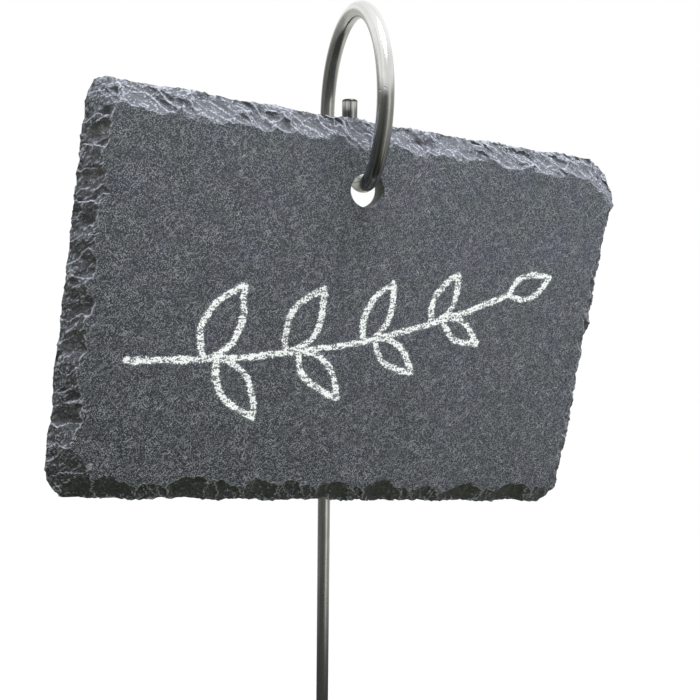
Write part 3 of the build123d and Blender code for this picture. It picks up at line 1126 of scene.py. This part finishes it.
def slate_material(slate):
    material, tree, surface = new_material("Split slate")
    place = tree.place()
    bruise_and_highlight, hollow_shade, broken, streaked, drilled = (
        tree.attribute(name) for name in ("bruise_and_highlight", "hollow_shade", "broken", "streaked", "drilled"))
    # painted light: the stone is drawn paler towards its top right and darker towards its lower
    # left, as if lit from the top right
    x, _, z = tree.parts(place)
    pale = (z + x * 0.55).span(*PAINTED_LIGHT_FROM_TO, smooth=False)
    grain, fine = tree.noise(place, GRAIN, 4.0, 0.75), tree.noise(place, FINE_GRAIN, 2.0, 0.6)
    torn, humps = tree.noise(place, TORN_GRAIN, 4.0, 0.7), tree.noise(place, HUMPS, 4.0, 0.65)
    flow = tree.turn(tree.attribute("flow", "Vector"), scale=(0.22, 1, 1))
    sheared = tree.noise(flow, FLAKE_GRAIN, 4.0, 0.7)
    laminae = tree.noise(tree.turn(place, scale=(1, 9, 1)), LAMINAE, 4.0, 0.7)
    shade = tree.toned(stone_colour(tree, slate, place, pale, broken),
                       stone_tone(pale, broken, hollow_shade, grain, fine, torn))
    glints = mica_glints(tree, place, broken, grain)
    shade = tree.mix(glints, shade, slate.speck)
    # bruising and painted highlight: chip rims, ridges and streaks along the flakes take the lighter
    # ridge colour
    rim = bruise_and_highlight.span(0.16, 0.58) * torn.span(0.36, 0.60, 0.35, 1.0)
    streaks = sheared.span(0.56, 0.66) * torn.span(0.42, 0.56)
    rim = rim.most(streaks * (streaked * 0.8))
    shade = tree.mix(rim * 0.9, shade, slate.bruise_and_highlight)
    shade = tree.mix(drilled * torn.span(0.3, 0.7, 0.6, 1.0), shade, slate.dust)
    cover = chalk_strokes(tree, place, fine)
    shade = tree.mix(cover, shade, slate.chalk)
    rough = grain.span(0.3, 0.7, 0.58, 0.78, smooth=False).most(cover.most(rim) * 0.9)
    height = grain * 0.55
    for relief, share in ((fine, 0.25), (glints, 0.35), (cover, 0.35), (humps, 0.9),
                          (laminae * broken, 1.2), (sheared * streaked, 1.7),
                          (torn * broken, 0.45)):
        height = height + relief * share
    tree.coat(surface, shade, rough, height, *STONE_BUMPS, Specular_IOR_Level=0.42, IOR=1.5)
    return material


class LABELSTAKE_OT_slate(bpy.types.Operator):
    """Splits the slate tag, chips its edges, drills its hole and draws on it in chalk"""

    bl_idname = "label_stake.split_slate"
    bl_label = "Split the slate"

    def execute(self, context):
        slate = settings(context)[1]
        half = slate.thickness / MM / 2
        chipped = ChippedFront()
        piece = self.split(slate, half, chipped)
        self.chip(piece.data, slate, half, chipped)
        self.drill(piece, slate, half)
        self.mark(piece, slate, half, chipped)
        piece.data.materials.append(slate_material(slate))
        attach(piece, "tag")
        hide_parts("slate_tag")
        return {"FINISHED"}

    def split(self, slate, half, chipped):
        """A closed slab in the tag's outline, finer in front at the rim, the chalk and the hole."""
        columns, rows = round(0.108 / slate.cell), round(0.076 / slate.cell)
        piece = primitive(bpy.ops.mesh.primitive_grid_add, "Slate_tag",
                          x_subdivisions=columns, y_subdivisions=rows, size=1)
        mesh = piece.data
        square = vertex_places(mesh)
        x, z = fill_outline(square[:, 0] + 0.5, square[:, 1] + 0.5)
        set_vertex_places(mesh, np.stack([x, np.full_like(x, -half), z], axis=1))
        start_edit("SELECT")
        extrude((0, 2 * half, 0))
        end_edit()
        select_vertices(mesh, vertex_places(mesh)[:, 1] < 0)
        edit_chosen()
        bpy.ops.mesh.subdivide(number_cuts=1)
        for edge_reach, chalk_reach in FINER_NEAR:
            end_edit()
            x, y, z = vertex_places(mesh).T
            near = (chipped.read("inside", x, z) < edge_reach) | (np.hypot(x, z) < HOLE_NEAR)
            near = near | (chipped.read("chalk", x, z) > chalk_reach)
            select_vertices(mesh, (y < 0) & near)
            edit_chosen()
            bpy.ops.mesh.subdivide(number_cuts=1)
        bpy.ops.mesh.select_all(action="SELECT")
        bpy.ops.mesh.normals_make_consistent(inside=False)
        end_edit()
        return piece

    def chip(self, mesh, slate, half, chipped):
        """Presses the chips into the front and makes the silhouette ragged."""
        x, y, z = vertex_places(mesh).T
        front = y < 0
        inside, height = chipped.read("inside", x, z), chipped.read("height", x, z)
        pull = (waves(x, z, *RAGGED) - RIM_PULL) * np.exp(-np.maximum(inside, 0) / RAGGED_REACH)
        corners = np.array((TAG_CORNERS["top_left"], TAG_CORNERS["bottom_right"]))
        away = np.stack([x, z], axis=1) - corners.mean(axis=0)
        away = away / np.hypot(*away.T)[:, None]
        x, z = x + away[:, 0] * pull, z + away[:, 1] * pull
        worn_edge = smooth_step(1.6, 0.0, inside) * (0.10 + 0.12 * lattice_noise(x, z, 0.6, 81))
        back = half - worn_edge - BACK_SUNK - waves(x, z, BACK_WAVES)
        y = np.where(front, half - height, back)
        set_vertex_places(mesh, tag_to_world(x, y, z, slate.rest_tilt))

    def drill(self, piece, slate, half):
        """Bores the hole with a drill that flares and chips the stone at both faces."""
        drill = primitive(bpy.ops.mesh.primitive_cylinder_add, "Drill", vertices=DRILL_SIDES,
                          radius=slate.hole_radius, depth=slate.thickness * DRILL_STRAIGHT,
                          rotation=(math.pi / 2, 0, 0), location=hole_place)
        settle(drill)
        start_edit(kind="FACE")
        end_edit()
        for face in drill.data.polygons:
            face.select = abs(face.normal.y) > 0.9
        edit_chosen()
        for share, flare in DRILL_FLARES:
            step = {"value": slate.thickness * share}
            bpy.ops.mesh.extrude_faces_move(TRANSFORM_OT_shrink_fatten=step)
            bpy.ops.transform.resize(value=(flare, 1, flare), center_override=hole_place)
        end_edit()
        x, y, z = (vertex_places(drill.data) - np.array(hole_place)).T
        around = np.arctan2(z, x)
        rough = lattice_noise(around * 2.2, y / MM, 1.0, 91) * BORE_ROUGH
        chips = np.maximum(lattice_noise(around * 3.0, np.sign(y) * 3, 1.0, 93), 0) * BORE_CHIPPED
        wider = 1 + rough + chips * smooth_step(half * 0.75, half * 1.05, np.abs(y) / MM)
        places = np.stack([x * wider, y, z * wider], axis=1) + np.array(hole_place)
        set_vertex_places(drill.data, places)
        bpy.context.view_layer.objects.active = piece
        carve = piece.modifiers.new("Hole", "BOOLEAN")
        carve.operation, carve.object, carve.solver = "DIFFERENCE", drill, "EXACT"
        bpy.ops.object.modifier_apply(modifier=carve.name)
        bpy.data.objects.remove(drill, do_unlink=True)

    def mark(self, piece, slate, half, chipped):
        """Writes the chips, the drilled wall and the chalk onto the mesh for the material."""
        mesh = piece.data
        bpy.ops.object.select_all(action="DESELECT")
        piece.select_set(True)
        bpy.ops.object.shade_smooth_by_angle(angle=math.radians(SMOOTH_STONE))
        x, y, z = world_to_tag(vertex_places(mesh), slate.rest_tilt)
        front = y < half - 0.6
        inside = chipped.read("inside", x, z)
        # off the front, rims near the outline get a little of the same bruising and painted
        # highlight
        elsewhere = {"bruise_and_highlight": smooth_step(0.5, 0.0, inside) * 0.3,
                     "broken": smooth_step(1.2, 0.2, inside)}
        for name in ("bruise_and_highlight", "hollow_shade", "broken", "streaked", "clean", "chalk"):
            values = np.where(front, chipped.read(name, x, z), elsewhere.get(name, 0))
            store_number(mesh, name, values)
        radius = slate.hole_radius / MM
        wall = smooth_step(radius * 1.05, radius * 1.01, np.hypot(x, z))
        store_number(mesh, "drilled", wall * np.where(y < 0, 0.15, 1.0))
        u, v, side = flow_along(x, z)
        store_vector(mesh, "flow", np.stack([u * MM, v * MM, side * 0.1], axis=1))


# the stage


def white_where_seen(tree):
    """1 for rays from the camera and for what steel mirrors, 0 for the light on the object."""
    path = tree.outlets("ShaderNodeLightPath")
    return path["Is Camera Ray"].most(path["Is Glossy Ray"]).most(path["Is Transmission Ray"])


def hang_lamp(name, kind, place, tint, power):
    lamp = bpy.data.lights.new(name, kind)
    lamp.energy, lamp.color = power, tint
    holder = bpy.data.objects.new(name, lamp)
    bpy.context.scene.collection.objects.link(holder)
    holder.location = place
    facing = Vector(LIT_PLACE) - Vector(place)
    holder.rotation_euler = facing.to_track_quat("-Z", "Y").to_euler()
    return holder


class LABELSTAKE_OT_stage(bpy.types.Operator):
    """Lays the pale floor, hangs the lamps and sets the camera at the photograph's angle"""

    bl_idname = "label_stake.light_stage"
    bl_label = "Set the stage"

    def execute(self, context):
        stage = settings(context)[2]
        scene = context.scene
        scene.view_settings.view_transform = "Standard"
        self.floor(stage)
        self.tent()
        self.world(scene, stage)
        sun = hang_lamp("Overhead light", *SUN_LAMP[:3], stage.overhead)
        sun.data.angle = math.radians(SUN_LAMP[3])
        softbox = hang_lamp("Right softbox", *SIDE_LAMP[:3], stage.side)
        softbox.data.size = SIDE_LAMP[3]
        softbox.visible_glossy = False
        self.camera(scene, stage)
        return {"FINISHED"}

    def camera(self, scene, stage):
        camera = bpy.data.cameras.new("Camera")
        camera.lens, camera.sensor_width = stage.lens, 36
        camera.clip_start, camera.clip_end = 0.01, 50
        holder = bpy.data.objects.new("Camera", camera)
        scene.collection.objects.link(holder)
        down, swing, roll = stage.camera_turn
        turn = Matrix.Rotation(swing, 4, "Z") @ Matrix.Rotation(math.pi / 2 + down, 4, "X")
        turn = turn @ Matrix.Rotation(roll, 4, "Z")
        holder.matrix_world = Matrix.Translation(Vector(stage.camera_place)) @ turn
        scene.camera = holder

    def floor(self, stage):
        floor = primitive(bpy.ops.mesh.primitive_plane_add, "Floor", size=60,
                          location=(0, 0, cad_box[0][2] - FLOOR_GAP))
        settle(floor)
        material, tree, surface = new_material("Pale floor")
        seen = white_where_seen(tree)
        tone = tree.noise(tree.place(), 5.0, 2.0).span(0.3, 0.7, 0.985, 1.0)
        matt = tree.mix(seen, stage.floor_bounce, stage.floor)
        matt = tree.put("ShaderNodeBsdfDiffuse", Color=matt)
        glow = seen * tone * stage.floor_glow
        glow = tree.put("ShaderNodeEmission", Color=(1, 1, 1, 1), Strength=glow)
        tree.feed(surface, tree.put("ShaderNodeAddShader", matt, glow))
        floor.data.materials.append(material)

    def tent(self):
        """A dark cloth tent, open at the top, that only the shine on the wire and stone can see."""
        tent = primitive(bpy.ops.mesh.primitive_uv_sphere_add, "Dark tent", segments=64,
                         ring_count=32, radius=TENT_RADIUS, location=(0, 0, TENT_MIDDLE))
        settle(tent)
        start_edit("SELECT", "FACE")
        bpy.ops.mesh.bisect(plane_co=(0, 0, cad_box[0][2] - FLOOR_GAP / 2), plane_no=(0, 0, 1),
                            use_fill=True, clear_inner=True)
        end_edit()
        for face in tent.data.polygons:
            face.select = (face.center.z - TENT_MIDDLE) / TENT_RADIUS > TENT_OPENING
        edit_chosen()
        bpy.ops.mesh.delete(type="FACE")
        end_edit()
        material, tree, surface = new_material("Tent cloth")
        x, y, z = tree.parts(tree.place())
        bearing = tree.math("ARCTAN2", x, y * -1.0)
        away = tree.math("SQRT", x * x + y * y)
        rise = tree.math("ARCTAN2", z - TENT_MIDDLE, away)
        ring = tree.node("ShaderNodeValToRGB", bearing.span(-math.pi, math.pi, smooth=False))
        ramp = ring.color_ramp
        ramp.elements.remove(ramp.elements[-1])
        for number, (degrees, bright) in enumerate(TENT_LEVELS):
            stop = ramp.elements.new((degrees + 180) / 360) if number else ramp.elements[0]
            stop.color = (bright, bright, bright * CLOTH_WARMTH, 1)
        folds = tree.noise(tree.put("ShaderNodeCombineXYZ", bearing, 0.0, 0.0), 2.6, 3.0, 0.7)
        cloth = tree.toned(Value(tree, ring.outputs["Color"]), folds.span(0.3, 0.7, 0.72, 1.28))
        foot, top = (rise.span(*np.radians(ends).tolist()) for ends in (TENT_FOOT, TENT_TOP))
        cloth = tree.mix(top, tree.mix(foot, TENT_FOOT_COLOUR, cloth), (1.0, 1.0, 1.0))
        tree.feed(surface, tree.put("ShaderNodeEmission", Color=cloth, Strength=1.0))
        tent.data.materials.append(material)
        for ray in ("camera", "diffuse", "shadow", "transmission"):
            setattr(tent, "visible_" + ray, False)

    def world(self, scene, stage):
        world = bpy.data.worlds.new("Studio")
        world.use_nodes = True
        scene.world = world
        tree = Tree(world.node_tree)
        output = tree.nodes.new("ShaderNodeOutputWorld")
        strength = white_where_seen(tree).between(stage.ambient, 1.0, smooth=False)
        white = tree.put("ShaderNodeBackground", Color=(1, 1, 1, 1), Strength=strength)
        tree.feed(output.inputs["Surface"], white)


class LABELSTAKE_PT_panel(bpy.types.Panel):
    """Lists the steps that make the plant label stake"""

    bl_idname = "LABELSTAKE_PT_panel"
    bl_label = "Label stake"
    bl_space_type = "VIEW_3D"
    bl_region_type = "UI"
    bl_category = "Label stake"

    def draw(self, context):
        for operator in OPERATORS:
            self.layout.operator(operator.bl_idname)
        for group in settings(context):
            box = self.layout.box()
            for name in group.__annotations__:
                box.prop(group, name)


OPERATORS = (LABELSTAKE_OT_wire, LABELSTAKE_OT_slate, LABELSTAKE_OT_stage)
CLASSES = (WireSettings, SlateSettings, StageSettings, *OPERATORS, LABELSTAKE_PT_panel)


def register():
    for cls in CLASSES:
        bpy.utils.register_class(cls)
    bpy.types.Scene.label_stake_wire = PointerProperty(type=WireSettings)
    bpy.types.Scene.label_stake_slate = PointerProperty(type=SlateSettings)
    bpy.types.Scene.label_stake_stage = PointerProperty(type=StageSettings)


def unregister():
    for name in ("label_stake_wire", "label_stake_slate", "label_stake_stage"):
        delattr(bpy.types.Scene, name)
    for cls in reversed(CLASSES):
        bpy.utils.unregister_class(cls)


def main():
    register()
    hairline_group()
    sliver_group()
    cloud_group()
    bpy.ops.label_stake.bend_wire()
    bpy.ops.label_stake.split_slate()
    bpy.ops.label_stake.light_stage()


if __name__ == "__main__":
    main()
